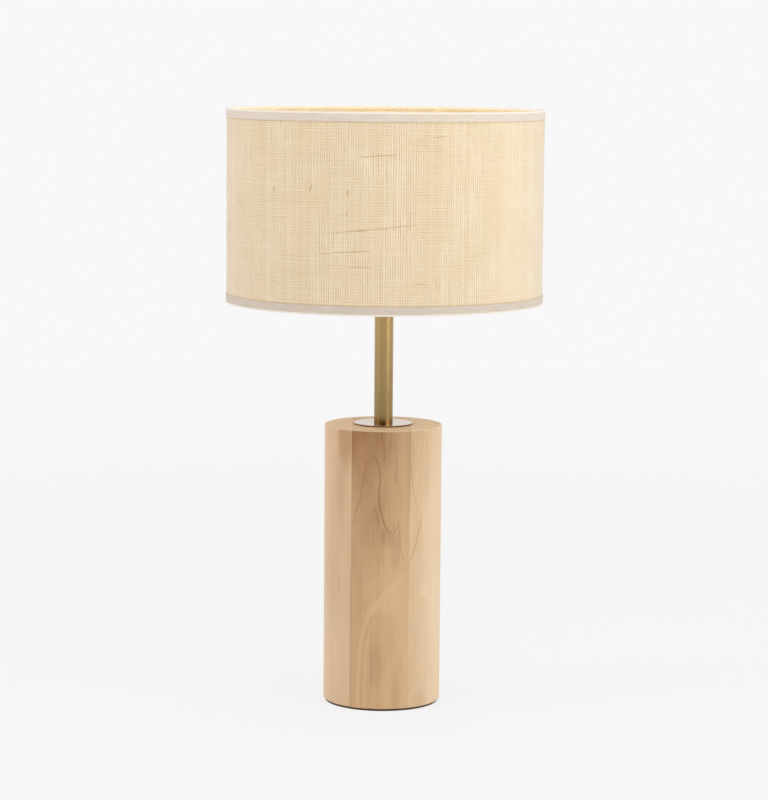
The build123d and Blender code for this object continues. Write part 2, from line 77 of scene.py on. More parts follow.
def on_cylinder(px, py, radius):
    """Arc length from the front, and height, where a pixel's ray meets a cylinder, in metres.

    The cylinder stands on the lamp's axis.
    """
    across, up = (px - IMAGE_W / 2) / FOCAL_PX, (IMAGE_H / 2 - py) / FOCAL_PX
    ray = CAMERA_TURN.to_3x3() @ Vector((across, up, -1))
    a = ray.x**2 + ray.y**2
    b = CAMERA_AT.x * ray.x + CAMERA_AT.y * ray.y
    c = CAMERA_AT.x**2 + CAMERA_AT.y**2 - radius**2
    t = (-b - sqrt(max(b * b - a * c, 0))) / a
    point = CAMERA_AT + t * ray
    return radius * np.arctan2(point.x, -point.y), point.z


# ---------------------------------------------------------------- material builder
def rgb(r, g, b):
    """Linear colour from display values of 0 to 255."""
    shares = [value / 255 for value in (r, g, b)]
    linear = [v / 12.92 if v <= 0.04045 else ((v + 0.055) / 1.055) ** 2.4 for v in shares]
    return (*linear, 1.0)


class Value:
    """A number that a material's nodes work out, with arithmetic on it."""

    def __init__(self, surface, socket):
        self.surface = surface
        self.socket = socket

    def __add__(self, other):
        return self.surface.math("ADD", self, other)

    def __sub__(self, other):
        return self.surface.math("SUBTRACT", self, other)

    def __mul__(self, other):
        return self.surface.math("MULTIPLY", self, other)

    def __truediv__(self, other):
        return self.surface.math("DIVIDE", self, other)

    __radd__ = __add__
    __rmul__ = __mul__

    def __rsub__(self, other):
        return self.surface.math("SUBTRACT", other, self)


class Surface:
    """A material whose colour, roughness and bump are built from expressions."""

    def __init__(self, name, **constants):
        self.material = bpy.data.materials.new(name)
        self.material.use_nodes = True
        self.tree = self.material.node_tree
        self.shader = self.tree.nodes["Principled BSDF"]
        for socket, value in constants.items():
            self.shader.inputs[socket.replace("_", " ")].default_value = value
        place = self.node("ShaderNodeTexCoord").outputs["Object"]
        split = self.node("ShaderNodeSeparateXYZ", Vector=place)
        self.x, self.y, self.z = (Value(self, socket) for socket in split.outputs)

    def node(self, kind, settings=None, **inputs):
        """New node; inputs are numbers, sockets or Values by the sockets' names."""
        made = self.tree.nodes.new(kind)
        for key, value in (settings or {}).items():
            setattr(made, key, value)
        for key, value in inputs.items():
            self.feed(made.inputs[key.replace("_", " ")], value)
        return made

    def feed(self, socket, value):
        if isinstance(value, Value):
            value = value.socket
        if isinstance(value, bpy.types.NodeSocket):
            self.tree.links.new(value, socket)
        else:
            socket.default_value = value

    def math(self, operation, *values):
        made = self.node("ShaderNodeMath", {"operation": operation})
        for socket, value in zip(made.inputs, values):
            self.feed(socket, value)
        return Value(self, made.outputs[0])

    def vector(self, x, y, z=0.0):
        return self.node("ShaderNodeCombineXYZ", X=x, Y=y, Z=z).outputs[0]

    def place_mm(self):
        return self.vector(self.x / MM, self.y / MM, self.z / MM)

    def round_axis(self, radius):
        """Arc length from the front, round the lamp's axis at a radius."""
        return self.math("ARCTAN2", self.x, self.y * -1) * radius

    def from_axis_mm(self):
        return self.math("SQRT", self.x * self.x + self.y * self.y) / MM

    def noise(self, where, scale=1.0, detail=2.0, roughness=0.5):
        made = self.node(
            "ShaderNodeTexNoise", Vector=where, Scale=scale, Detail=detail, Roughness=roughness
        )
        return Value(self, made.outputs["Fac"])

    def random(self, where):
        """One random number for each whole-numbered place."""
        return Value(self, self.node("ShaderNodeTexWhiteNoise", Vector=where).outputs["Value"])

    def ramp(self, value, low, high, to_low=0.0, to_high=1.0):
        """Smooth step from to_low to to_high as value goes from low to high."""
        made = self.node(
            "ShaderNodeMapRange", {"interpolation_type": "SMOOTHSTEP"},
            Value=value, From_Min=low, From_Max=high, To_Min=to_low, To_Max=to_high,
        )
        return Value(self, made.outputs["Result"])

    def curve(self, value, low, high, points):
        """Smooth curve through (value, result) points; value runs from low to high."""
        results = [r for _, r in points]
        base, size = min(results), max(max(results) - min(results), 1e-6)
        made = self.node("ShaderNodeFloatCurve", Value=(value - low) / (high - low))
        line = made.mapping.curves[0]
        for number, (at, result) in enumerate(points):
            spot = ((at - low) / (high - low), (result - base) / size)
            if number < 2:
                line.points[number].location = spot
            else:
                line.points.new(*spot)
        made.mapping.update()
        return Value(self, made.outputs[0]) * size + base

    def blend(self, amount, first, second):
        """Colour between two colours."""
        made = self.node("ShaderNodeMix", {"data_type": "RGBA", "clamp_factor": True})
        # a Mix node has its colours after its numbers and vectors
        self.feed(made.inputs[0], amount)
        self.feed(made.inputs[6], first)
        self.feed(made.inputs[7], second)
        return made.outputs[2]

    def shade(self, colour, amount):
        """Colour times a number."""
        made = self.node(
            "ShaderNodeVectorMath", {"operation": "SCALE"}, Vector=colour, Scale=amount
        )
        return made.outputs[0]

    def finish(self, colour, roughness, height, depth):
        """Feeds the shader: colour, roughness, and a bump whose height of 1 is depth metres."""
        bump = self.node("ShaderNodeBump", Height=height, Distance=depth, Strength=1.0)
        self.feed(self.shader.inputs["Base Color"], colour)
        self.feed(self.shader.inputs["Roughness"], roughness)
        self.feed(self.shader.inputs["Normal"], bump.outputs[0])
        return self.material

    def let_light_through(self, share, colour):
        """Mixes in light that comes through from the other side of a thin sheet."""
        through = self.node("ShaderNodeBsdfTranslucent", Color=colour)
        mixed = self.node("ShaderNodeMixShader", Fac=share)
        links = self.tree.links
        links.new(self.shader.outputs[0], mixed.inputs[1])
        links.new(through.outputs[0], mixed.inputs[2])
        links.new(mixed.outputs[0], self.tree.nodes["Material Output"].inputs["Surface"])


# ---------------------------------------------------------------- shape helpers
def add_mesh(name, points, faces, material, body, smooth_below=40):
    """Smooth-shaded piece that rides on a body; edges over smooth_below degrees stay sharp."""
    mesh = bpy.data.meshes.new(name)
    mesh.from_pydata([tuple(p) for p in points], [], faces)
    mesh.materials.append(material)
    mesh.update()
    tidy = bmesh.new()
    tidy.from_mesh(mesh)
    bmesh.ops.recalc_face_normals(tidy, faces=tidy.faces)
    tidy.to_mesh(mesh)
    tidy.free()
    mesh.shade_smooth()
    mesh.set_sharp_from_angle(angle=radians(smooth_below))
    made = bpy.data.objects.new(name, mesh)
    bpy.context.scene.collection.objects.link(made)
    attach(made, body)
    return made


def turned(outline, steps, bend):
    """Points and faces of a closed (radius, height) outline turned about Z.

    bend(radius, height, angle) moves each point; angle is from the front, towards +X.
    """
    points, count = [], len(outline)
    for step in range(steps):
        angle = 2 * pi * step / steps
        for r, z in (bend(*spot, angle) for spot in outline):
            points.append((r * sin(angle), -r * cos(angle), z))
    faces = []
    for step in range(steps):
        this, other = step * count, (step + 1) % steps * count
        for i in range(count):
            j = (i + 1) % count
            faces.append((this + i, this + j, other + j, other + i))
    return points, faces


def arc(centre, radius, start, end, steps):
    """(radius, height) points of an arc about a centre, in degrees from the outward direction."""
    turns = [radians(start + (end - start) * i / steps) for i in range(steps + 1)]
    return [(centre[0] + radius * cos(t), centre[1] + radius * sin(t)) for t in turns]


def run(start, end, steps):
    """Evenly spaced points from start to just before end."""
    return [tuple(a + (b - a) * i / steps for a, b in zip(start, end)) for i in range(steps)]


# ---------------------------------------------------------------- sizes read from the CAD model
SHADE_LOW, SHADE_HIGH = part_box("raffia_cover")[0][2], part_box("raffia_cover")[1][2]
SHADE_R = -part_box("raffia_cover")[0][1]
LINER_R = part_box("shade_liner")[1][0]
TAPE_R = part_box("lower_trim")[1][0]
LOWER_TRIM_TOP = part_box("lower_trim")[1][2]
UPPER_TRIM_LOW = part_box("upper_trim")[0][2]
COLUMN_R = -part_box("wood_board_core")[0][1]
COLUMN_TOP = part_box("wood_board_core")[1][2]
STEM_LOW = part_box("stem_tube")[0][2]
DISC_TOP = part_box("brass_disc")[1][2]
GLUE_LEFT_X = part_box("wood_board_core")[0][0]
GLUE_RIGHT_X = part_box("wood_board_core")[1][0]
LAP_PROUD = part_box("raffia_cover")[1][1] - SHADE_R


# ---------------------------------------------------------------- raffia
WARP_PITCH = 2.25             # mm from one upright strand to the next
WEFT_PITCH = 2.35             # mm from one level strand to the next
STRAY_WARP, STRAY_WEFT = 1.9, 2.1   # mm that the strands stray together
STRAY_FINE = 0.6              # mm that each strand strays by itself
CROWN, CRIMP = 0.62, 0.34     # a strand's round back, and its rise over and under the others
WARP_GAP_SHADE, WEFT_GAP_SHADE = 0.85, 0.6      # how dark the painted shade in the gaps between strands is
LIT_FADE_FROM, LIT_FADE_TO = 95, 135  # mm round from the front: the painted gap shade fades towards the lit right side between these
LIT_GAP_SHADE = 0.55               # what is left of the painted gap shade from there on
LAP_HALF = 6.0                # half the width of the lapped seam at the back, mm
UNROLLED_R = 150              # mm, the radius at which the tapes and lining are unrolled


def raffia():
    """Plain weave of pale strands, with painted shade in the narrow gaps between them, all a
    little uneven.
    """
    s = Surface(
        "raffia", IOR=1.5, Specular_IOR_Level=0.25, Sheen_Weight=0.5, Sheen_Roughness=0.45
    )
    # the weave starts and ends under one edge of the lapped seam
    start = LAP_HALF * MM / SHADE_R
    across = s.x * cos(start) - s.y * sin(start)
    towards = s.x * sin(start) + s.y * cos(start)
    u = s.math("ARCTAN2", across, towards * -1) * (SHADE_R / MM)
    v = s.z / MM
    broad = s.vector(u, v)
    stray_u = (s.noise(s.vector(u * 0.3, v * 0.007)) - 0.5) * STRAY_WARP
    stray_v = (s.noise(s.vector(u * 0.012 + 40, v * 0.3)) - 0.5) * STRAY_WEFT
    fine_u = (s.noise(s.vector(u * 0.45, v * 0.12 + 9)) - 0.5) * STRAY_FINE
    fine_v = (s.noise(s.vector(u * 0.12 + 5, v * 0.45)) - 0.5) * STRAY_FINE
    warp_at = (u + stray_u + fine_u) / WARP_PITCH
    weft_at = (v + stray_v + fine_v) / WEFT_PITCH
    warp_number = s.math("FLOOR", warp_at)
    weft_number = s.math("FLOOR", weft_at)
    warp_off = s.math("ABSOLUTE", (warp_at - warp_number) * 2 - 1)
    weft_off = s.math("ABSOLUTE", (weft_at - weft_number) * 2 - 1)
    warp_wave = s.math("COSINE", (weft_at + warp_number) * pi)
    weft_wave = s.math("COSINE", (warp_at + weft_number) * pi) * -1
    warp_high = (1 - warp_off * warp_off) * CROWN + warp_wave * CRIMP
    weft_high = (1 - weft_off * weft_off) * CROWN + weft_wave * CRIMP
    warp_on_top = s.ramp(warp_high - weft_high, -0.25, 0.25)
    height = s.math("SMOOTH_MAX", warp_high, weft_high, 0.12)

    # painted shade in the gaps, which open and close along the strands and from patch to patch
    warp_run = s.noise(s.vector(warp_number * 7.3, v * 0.05))
    weft_run = s.noise(s.vector(u * 0.09, weft_number * 5.7 + 80))
    patch = s.noise(broad, 0.03, 4.0)
    warp_gap_shade = (
        s.ramp(warp_off, 0.3, 1.0)
        * s.ramp(warp_run, 0.3, 0.7, 0.25, 1.0)
        * s.ramp(patch, 0.38, 0.62, 0.4, 1.05)
    )
    weft_gap_shade = (
        s.ramp(weft_off, 0.3, 1.0)
        * s.ramp(weft_run, 0.3, 0.7, 0.15, 0.9)
        * s.ramp(patch, 0.38, 0.62, 1.0, 0.35)
    )
    # painted light: less gap shade on the right side, where the light falls
    lit_side_fade = s.ramp(u, LIT_FADE_FROM, LIT_FADE_TO, 1.0, LIT_GAP_SHADE)
    gap_shade = s.math("MINIMUM", (warp_gap_shade * WARP_GAP_SHADE + weft_gap_shade * WEFT_GAP_SHADE) * lit_side_fade, 1.0)

    # each strand's own tone, its fibres, and the colours
    warp_tone = s.random(s.vector(warp_number, 3.0)) * 0.35 + warp_run * 0.65
    weft_tone = s.random(s.vector(7.0, weft_number)) * 0.1 + weft_run * 0.9
    tone = weft_tone + (warp_tone - weft_tone) * warp_on_top
    warp_fibre = s.noise(s.vector(u * 5, v * 0.7))
    weft_fibre = s.noise(s.vector(u * 0.7, v * 5))
    fibre = warp_fibre * warp_on_top + weft_fibre * (1 - warp_on_top)
    light = s.ramp(tone + (fibre - 0.5) * 0.3 + (patch - 0.5) * 0.7, 0.1, 0.9)
    straw = s.blend(light, rgb(234, 211, 172), rgb(251, 238, 213))
    rosy = s.ramp(s.noise(broad, 0.017, 2.0), 0.4, 0.7, 0.0, 0.35)
    straw = s.blend(rosy, straw, rgb(248, 224, 196))
    # painted contact shadow on the weave along the edges of both tapes
    shadow_by_lower_tape = s.ramp(s.z, LOWER_TRIM_TOP + 1.4 * MM, LOWER_TRIM_TOP + 0.2 * MM)
    shadow_by_upper_tape = s.ramp(s.z, UPPER_TRIM_LOW - 1.4 * MM, UPPER_TRIM_LOW - 0.2 * MM)
    # painted shade from the gaps and the tape edges, blended into the straw colour
    dark = s.math("MINIMUM", gap_shade + (shadow_by_lower_tape + shadow_by_upper_tape) * 0.5, 1.0)
    straw = s.blend(dark, straw, rgb(200, 164, 116))
    # painted shade: the weave darkens a little towards the bottom, where less light from above
    # falls
    straw = s.shade(straw, s.ramp(s.z, SHADE_LOW, SHADE_HIGH, 0.96, 1.0))
    roughness = 0.62 + (fibre - 0.5) * 0.25
    material = s.finish(straw, roughness, height * 0.8 + fibre * 0.2, 0.0003)
    s.let_light_through(0.12, rgb(240, 205, 150))
    return material


def strand():
    """Knots and doubled strands that lie on the weave, darker than it."""
    s = Surface("raffia_strand", Specular_IOR_Level=0.28)
    v = s.z / MM
    u = s.x / MM
    fibre = s.noise(s.vector(u * 0.6, v * 6), detail=3.0)
    colour = s.blend(fibre, rgb(192, 158, 116), rgb(216, 186, 145))
    return s.finish(colour, 0.55 + fibre * 0.2, fibre, 0.00012)


def cotton(name, dark, light, edge_z):
    """Fine plain-woven tape, a little slubby, with a painted highlight along the fold at edge_z.
    """
    s = Surface(name, Specular_IOR_Level=0.2, Sheen_Weight=0.2, Sheen_Roughness=0.5)
    u = s.round_axis(UNROLLED_R)
    v = s.z / MM + s.from_axis_mm()
    ribs = s.math("SINE", u * 2 * pi / 0.55) * s.math("SINE", v * 2 * pi / 0.6)
    slub = s.noise(s.vector(u * 0.8, v * 0.25 + 3), detail=3.0)
    slub_across = s.noise(s.vector(u * 0.05, v * 2.4))
    soil = s.noise(s.vector(u * 0.05, v * 0.05 + 17))
    lit = s.ramp(slub * 0.3 + slub_across * 0.7 + ribs * 0.05, 0.15, 0.85)
    colour = s.shade(s.blend(lit, dark, light), 0.97 + (soil - 0.5) * 0.08)
    # painted highlight along the fold over the shade's edge
    fold_highlight = s.ramp(s.math("ABSOLUTE", s.z - edge_z), 0.4 * MM, 1.3 * MM, 0.6, 0.0)
    colour = s.blend(fold_highlight, colour, rgb(250, 243, 232))
    return s.finish(colour, 0.8 + (slub - 0.5) * 0.2, ribs * 0.4 + slub * 0.6, 0.00006)


def shade_film():
    """Stiff ivory lining, lightly mottled, that glows when the bulb is on."""
    s = Surface("shade_film", Specular_IOR_Level=0.3)
    u, v = s.round_axis(UNROLLED_R), s.z / MM
    mottle = s.noise(s.vector(u * 0.4, v * 0.4), detail=4.0)
    grain = s.noise(s.vector(u * 3, v * 3))
    colour = s.blend(mottle, rgb(242, 235, 200), rgb(252, 248, 216))
    material = s.finish(colour, 0.5 + (grain - 0.5) * 0.2, grain, 0.00003)
    s.let_light_through(0.3, rgb(250, 226, 180))
    return material


# ---------------------------------------------------------------- wood
GLUE_LEFT_FADE = (150, 120)   # mm up: the left glue line comes in downwards between these
GLUE_RIGHT_FADE = (185, 200)  # mm up: the right one comes in upwards
GLUE_DARK = 0.28
RING_PITCH = 6.5              # mm from one year's growth to the next


class Figure:
    """Adds up what darkens the wood's face: growth lines and soft patches, in mm, unrolled.

    Places are given as pixels of the image, as the camera sees them on the column.
    """

    def __init__(self, surface, along, height):
        self.s, self.along, self.height = surface, along, height
        self.dark = None

    def add(self, amount):
        self.dark = amount if self.dark is None else self.dark + amount

    def line(self, pixels, dark, sharp=0.7, soft=2.2, fade=3.0):
        """A growth line through pixels, listed downwards.

        It fades over soft mm on its left and sharp mm on its right. A negative soft swaps them.
        """
        spots = [on_cylinder(px, py, COLUMN_R) for px, py in pixels]
        spots = sorted((z / MM, a / MM) for a, z in spots)
        low, high = spots[0][0], spots[-1][0]
        off = self.along - self.s.curve(self.height, low, high, spots)
        left, right = (soft, sharp) if soft > 0 else (sharp, -soft)
        across = self.s.ramp(off, -left, 0) * self.s.ramp(off, 0, right, 1, 0)
        low_end = self.s.ramp(self.height, low - fade, low + fade)
        high_end = self.s.ramp(self.height, high - fade, high + fade, 1, 0)
        self.add(across * (low_end * high_end) * dark)

    def patch(self, px, py, half_w, half_h, dark, lean=0.0):
        """A soft oval about a pixel. A lean in degrees lifts its right; negative dark is pale."""
        at, z = on_cylinder(px, py, COLUMN_R)
        du, dz = self.along - at / MM, self.height - z / MM
        c, n = cos(radians(lean)), sin(radians(lean))
        across, up = (du * c + dz * n) / half_w, (dz * c - du * n) / half_h
        self.add(self.s.ramp(across * across + up * up, 0, 1, 1, 0) * dark)

    def by_height(self, from_py, to_py, dark):
        """Nothing at the first pixel row's height, dark from the second on."""
        start, end = (on_cylinder(AXIS_PX, py, COLUMN_R)[1] / MM for py in (from_py, to_py))
        self.add(self.s.ramp(self.height, start, end) * dark)

    def by_side(self, from_px, to_px, dark):
        """Nothing at the first pixel column, dark from the second on."""
        start, end = (on_cylinder(px, MIDDLE_PY, COLUMN_R)[0] / MM for px in (from_px, to_px))
        self.add(self.s.ramp(self.along, start, end) * dark)


def wood(name, dark_tone, light_tone, pith, seed, draw):
    """Pale close-grained wood. pith is where the tree's middle was, (x, y) in mm."""
    s = Surface(name, Specular_IOR_Level=0.32)
    x, y, z = s.x / MM, s.y / MM, s.z / MM
    # year rings about the pith
    flow = s.vector(x * 0.035 + seed, y * 0.035, z * 0.006)
    bend = s.noise(flow) - 0.5
    fine_bend = s.noise(s.vector(x * 0.16 + seed, y * 0.16, z * 0.02)) - 0.5
    off_x, off_y = x - pith[0], y - pith[1]
    from_pith = s.math("SQRT", off_x * off_x + off_y * off_y)
    years = from_pith / RING_PITCH + bend * 5 + fine_bend * 0.7
    part = years - s.math("FLOOR", years)
    ring = s.ramp(part, 0.35, 0.93) * s.ramp(part, 0.93, 1.0, 1, 0)

    # grain along the board
    streak = s.noise(s.vector(x * 0.28 + seed, y * 0.28, z * 0.012), detail=4.0) - 0.5
    fibre = s.noise(s.vector(x * 3.1, y * 3.1, z * 0.09 + seed), detail=3.0) - 0.5
    cloud = s.noise(s.vector(x * 0.03, y * 0.03, z * 0.014 + seed)) - 0.5
    fleck_field = s.noise(s.vector(x * 2.2, y * 2.2 + seed, z * 0.22), detail=1.0)
    fleck = s.ramp(fleck_field, 0.7, 0.78)
    grain = streak * 0.36 + cloud * 0.3 + fibre * 0.13 - ring * 0.03 - fleck * 0.1

    # the figure that the photograph shows on the front
    wobble_u = s.noise(s.vector(x * 0.09, z * 0.045 + seed), detail=3.0) - 0.5
    wobble_v = s.noise(s.vector(x * 0.06 + 9, z * 0.05 + seed)) - 0.5
    along = s.round_axis(COLUMN_R / MM) + wobble_u * 1.8
    front = Figure(s, along, z + wobble_v * 3.0)
    draw(front)
    side = 0.58 + grain - front.dark

    # end grain on top
    saw_streak = s.noise(s.vector(x * 0.05 + seed, y * 0.9, 0.0), detail=3.0) - 0.5
    pore = s.noise(s.vector(x * 2.6, y * 2.6, 0.0), detail=3.0) - 0.5
    grain_end = 0.6 + fine_bend * 0.3 + saw_streak * 1.8 - ring * 0.2 + pore * 0.3
    cut_across = s.ramp(z, COLUMN_TOP / MM - 0.45, COLUMN_TOP / MM - 0.05)
    tone = side * (1 - cut_across) + grain_end * cut_across

    # colours, glue lines and a painted highlight along the top edge
    colour = s.blend(s.ramp(tone, -0.25, 1.15), dark_tone, light_tone)
    colour = s.blend(cut_across * 0.5, colour, rgb(222, 202, 174))
    warmth = s.noise(s.vector(x * 0.05 + 3, y * 0.05, z * 0.02))
    colour = s.blend(s.ramp(warmth, 0.35, 0.75, 0.0, 0.2), colour, rgb(214, 170, 136))
    from_left = s.math("ABSOLUTE", x - GLUE_LEFT_X / MM)
    from_right = s.math("ABSOLUTE", x - GLUE_RIGHT_X / MM)
    glue_left = s.ramp(from_left, 0.1, 0.7, 1, 0) * s.ramp(z, *GLUE_LEFT_FADE)
    glue_right = s.ramp(from_right, 0.1, 0.7, 1, 0) * s.ramp(z, *GLUE_RIGHT_FADE)
    colour = s.shade(colour, 1 - (glue_left + glue_right) * GLUE_DARK)
    # painted highlight where the eased top edge catches the light
    edge_highlight = s.ramp(z, COLUMN_TOP / MM - 1.0, COLUMN_TOP / MM - 0.3) * (1 - cut_across)
    colour = s.blend(edge_highlight * 0.35, colour, rgb(246, 226, 196))
    roughness = 0.47 + fibre * 0.2 + cut_across * 0.12
    return s.finish(colour, roughness, fibre * 0.6 + fleck_field * 0.2, 0.00006)


# the right side of the loop that the glue line cuts through
RIGHT_LOOP = [(421.4, 516), (418.2, 533), (415.4, 545), (411.6, 557), (407.8, 562.4)]


def left_figure(figure):
    figure.by_height(560, 700, -0.12)
    figure.by_side(334, 322, -0.3)
    figure.patch(346, 430, 13, 46, 0.4)
    figure.patch(341, 470, 8, 70, 0.14)
    figure.line([(339.1, 574), (339.3, 584), (338.8, 594)], 0.3, 0.5, 0.7)
    figure.line([(331.0, 649), (331.1, 655)], 0.35, 0.5, 0.6, 1.0)
    figure.line([(340.4, 677), (340.5, 684)], 0.35, 0.5, 0.6, 1.0)


def core_figure(figure):
    figure.by_height(530, 430, 0.4)
    figure.by_height(530, 606, -0.22)
    figure.by_side(380, 388, -0.08)
    figure.by_side(388, 408, -0.14)
    figure.patch(404, 440, 10, 55, -0.14)
    figure.patch(354, 436, 7, 30, 0.12)
    figure.patch(364, 480, 12, 80, 0.16)
    figure.line([(381.8, 432), (381.2, 437), (383.6, 446), (384.4, 455), (383.4, 462)],
                0.2, 0.6, -2.0)
    figure.line([(373.2, 456.4), (370.0, 458.5), (366.4, 462.8), (364.6, 472), (362.4, 482),
                 (360.6, 493), (358.2, 503), (355.4, 512), (352.6, 524)], 0.26, 0.6, -2.0)
    figure.line([(373.6, 456.4), (376.6, 458.4), (378.8, 463.5), (380.6, 472), (381.0, 480),
                 (379.6, 490), (379.8, 500), (381.2, 511), (384.2, 522), (387.6, 530),
                 (391.0, 533.4)], 0.36, 0.6, 2.2)
    figure.line([(398.0, 521.5), (397.6, 526), (394.8, 531.5), (391.4, 533.4)], 0.38, 0.6, -2.2)
    figure.line([(399.6, 529), (400.2, 541), (401.4, 552), (404.4, 560), (407.6, 562.4)],
                0.3, 0.7, 1.8)
    figure.line(RIGHT_LOOP, 0.3, 0.7, -1.8)
    figure.line([(405.4, 564), (404.8, 573), (401.6, 580), (399.2, 585)], 0.24, 0.7, 1.6)
    figure.line([(396.8, 456), (396.2, 463), (397.0, 470), (395.2, 478), (396.0, 484)],
                0.2, 0.6, -1.8)
    figure.line([(374.6, 508), (376.8, 516), (378.8, 524)], 0.22, 0.6, 1.8)
    figure.line([(397.7, 599.6), (404.0, 601.0), (410.4, 603.6), (412.8, 612)], 0.2, 0.7, 1.6)
    figure.line([(366.7, 478), (366.8, 483)], 0.35, 0.5, 0.6, 1.0)
    figure.line([(365.0, 605), (365.1, 612)], 0.35, 0.5, 0.6, 1.0)
    figure.patch(377, 516, 5, 18, 0.08)
    figure.patch(387, 538, 8, 13, 0.18)
    figure.patch(395, 552, 6, 26, 0.26)
    figure.patch(394, 527, 2.5, 7, 0.16)
    figure.line([(404, 574), (394, 586), (382, 597), (371.5, 610), (364.5, 626), (360, 645),
                 (358, 668), (357.2, 695), (357.4, 716)], -0.26, 2.6, -5.0)
    figure.patch(392, 589, 13, 6, -0.14, 48)
    figure.patch(373, 609, 13, 6.5, -0.16, 50)
    figure.line([(373, 620), (367.5, 640), (365, 662), (364, 690), (364.4, 716)],
                -0.2, 1.2, -2.6)
    figure.line([(367.4, 624), (363.4, 648), (361.4, 672), (360.8, 700)], 0.22, 0.7, 1.0)
    figure.patch(390, 604, 20, 9, -0.12, 30)
    figure.patch(375.5, 664, 8, 36, 0.14)
    figure.patch(371.5, 672, 2.6, 26, 0.1)
    figure.patch(396, 692, 6, 32, 0.2)
    figure.patch(400, 664, 4, 12, 0.14)


def right_figure(figure):
    figure.by_height(520, 432, 0.2)
    figure.by_side(409, 438, -0.46)
    figure.patch(419, 515, 7, 50, 0.1)
    figure.line([(411.6, 462), (412.4, 480), (414.6, 496), (419.0, 508)], 0.16, 0.8, 2.0)
    figure.line(RIGHT_LOOP, 0.3, 0.7, -1.8)
    figure.line([(427.5, 436), (427.2, 470), (428.4, 500)], 0.1, 1.2, 3.0)
    figure.patch(424, 590, 7, 9, -0.16, -20)
    figure.patch(420, 700, 12, 14, 0.16)


# ---------------------------------------------------------------- metals, plastics and the rest
STEM_R = 9                    # mm
STEM_SHADE_FADE = 100 * MM          # painted reflection on the stem: darker towards the foot, paler up to here
STEM_FOOT = 6 * MM            # tarnished part
BULB_COLOUR = rgb(255, 233, 157)
BULB_GLOW = 10.0


def brushed_brass():
    """Satin brass, brushed lengthwise and lacquered."""
    s = Surface("brushed_brass", Metallic=1.0, Coat_Weight=0.12, Coat_Roughness=0.3)
    u, v = s.round_axis(STEM_R), s.z / MM
    brush = s.noise(s.vector(u * 9, v * 0.05), detail=3.0)
    patina = s.noise(s.vector(u * 0.12, v * 0.03), detail=3.0)
    colour = s.blend(patina, rgb(158, 131, 84), rgb(172, 146, 99))
    colour = s.shade(colour, 0.94 + brush * 0.12)
    # painted reflection and shade: darker towards the foot, brighter towards the top
    colour = s.shade(colour, s.ramp(s.z, STEM_LOW, STEM_LOW + STEM_SHADE_FADE, 0.83, 1.15))
    foot = s.ramp(s.z, STEM_LOW + STEM_FOOT, STEM_LOW, 0.0, 0.75)
    colour = s.blend(foot, colour, rgb(112, 66, 12))
    roughness = 0.23 + (brush - 0.5) * 0.14 + (patina - 0.5) * 0.06
    return s.finish(colour, roughness, brush, 0.00002)


def polished_brass():
    """Mirror-polished pale brass, with a painted dark reflection on its rim."""
    s = Surface("polished_brass", Metallic=1.0, Specular_Tint=rgb(246, 243, 245))
    haze = s.noise(s.vector(s.x / MM * 0.08, s.y / MM * 0.08, s.z), detail=4.0)
    scratch = s.noise(s.vector(s.x / MM * 0.9, s.y / MM * 7, 2.0))
    colour = s.blend(haze, rgb(208, 190, 164), rgb(218, 203, 180))
    # painted reflection: the rim's side wall is darkened as if it mirrored something dark
    rim_reflection = s.ramp(s.z, DISC_TOP - 0.3 * MM, DISC_TOP - 0.05 * MM, 0.8, 0.0)
    colour = s.blend(rim_reflection, colour, rgb(98, 60, 14))
    roughness = 0.07 + haze * 0.07 + s.ramp(scratch, 0.62, 0.75) * 0.06
    return s.finish(colour, roughness, haze, 0.00002)


def turned_metal(name, dark, light, roughness, pitch=0.22):
    """Metal with fine turning marks round its axis and small stains."""
    s = Surface(name, Metallic=1.0)
    marks = s.noise(s.vector(s.from_axis_mm() / pitch, s.z / MM / pitch))
    stain = s.noise(s.place_mm(), 0.2, 4.0)
    colour = s.blend(stain, dark, light)
    roughness = roughness + (marks - 0.5) * 0.16 + (stain - 0.5) * 0.1
    return s.finish(colour, roughness, marks, 0.00002)


def moulded(name, dark, light, roughness, grain=1.4, depth=0.00004):
    """Moulded plastic or glazed ceramic: fine grain and faint flow clouds."""
    s = Surface(name)
    where = s.place_mm()
    fine = s.noise(where, grain, 3.0)
    cloud = s.noise(where, 0.07, 3.0)
    colour = s.blend(cloud * 0.7 + fine * 0.3, dark, light)
    return s.finish(colour, roughness + (fine - 0.5) * 0.14, fine, depth)


def felt():
    """Dark matted felt."""
    s = Surface("felt", Specular_IOR_Level=0.1, Sheen_Weight=0.3)
    where = s.place_mm()
    hair = s.noise(where, 2.6, 5.0, 0.7)
    tuft = s.noise(where, 0.35, 3.0)
    colour = s.blend(hair * 0.6 + tuft * 0.4, rgb(48, 40, 34), rgb(92, 80, 68))
    return s.finish(colour, 0.92 + (hair - 0.5) * 0.1, hair, 0.0003)


def enamel():
    """White enamel on steel wire, unevenly thin, with a few specks."""
    s = Surface("white_enamel", Specular_IOR_Level=0.5)
    where = s.place_mm()
    peel = s.noise(where, 0.8, 2.0)
    speck = s.ramp(s.noise(where, 2.2, 1.0), 0.72, 0.78)
    colour = s.blend(peel, rgb(232, 230, 224), rgb(244, 243, 239))
    colour = s.blend(speck * 0.5, colour, rgb(150, 146, 138))
    return s.finish(colour, 0.34 + (peel - 0.5) * 0.12, peel, 0.00001)


def opal():
    """Opal globe with the bulb's plain warm glow."""
    s = Surface("opal_plastic", Specular_IOR_Level=0.5, Emission_Color=BULB_COLOUR,
                Emission_Strength=BULB_GLOW)
    where = s.place_mm()
    swirl = s.noise(where, 0.06, 3.0)
    fine = s.noise(where, 1.2, 2.0)
    colour = s.blend(swirl, rgb(244, 240, 230), rgb(252, 249, 242))
    return s.finish(colour, 0.3 + (fine - 0.5) * 0.1, fine, 0.00002)


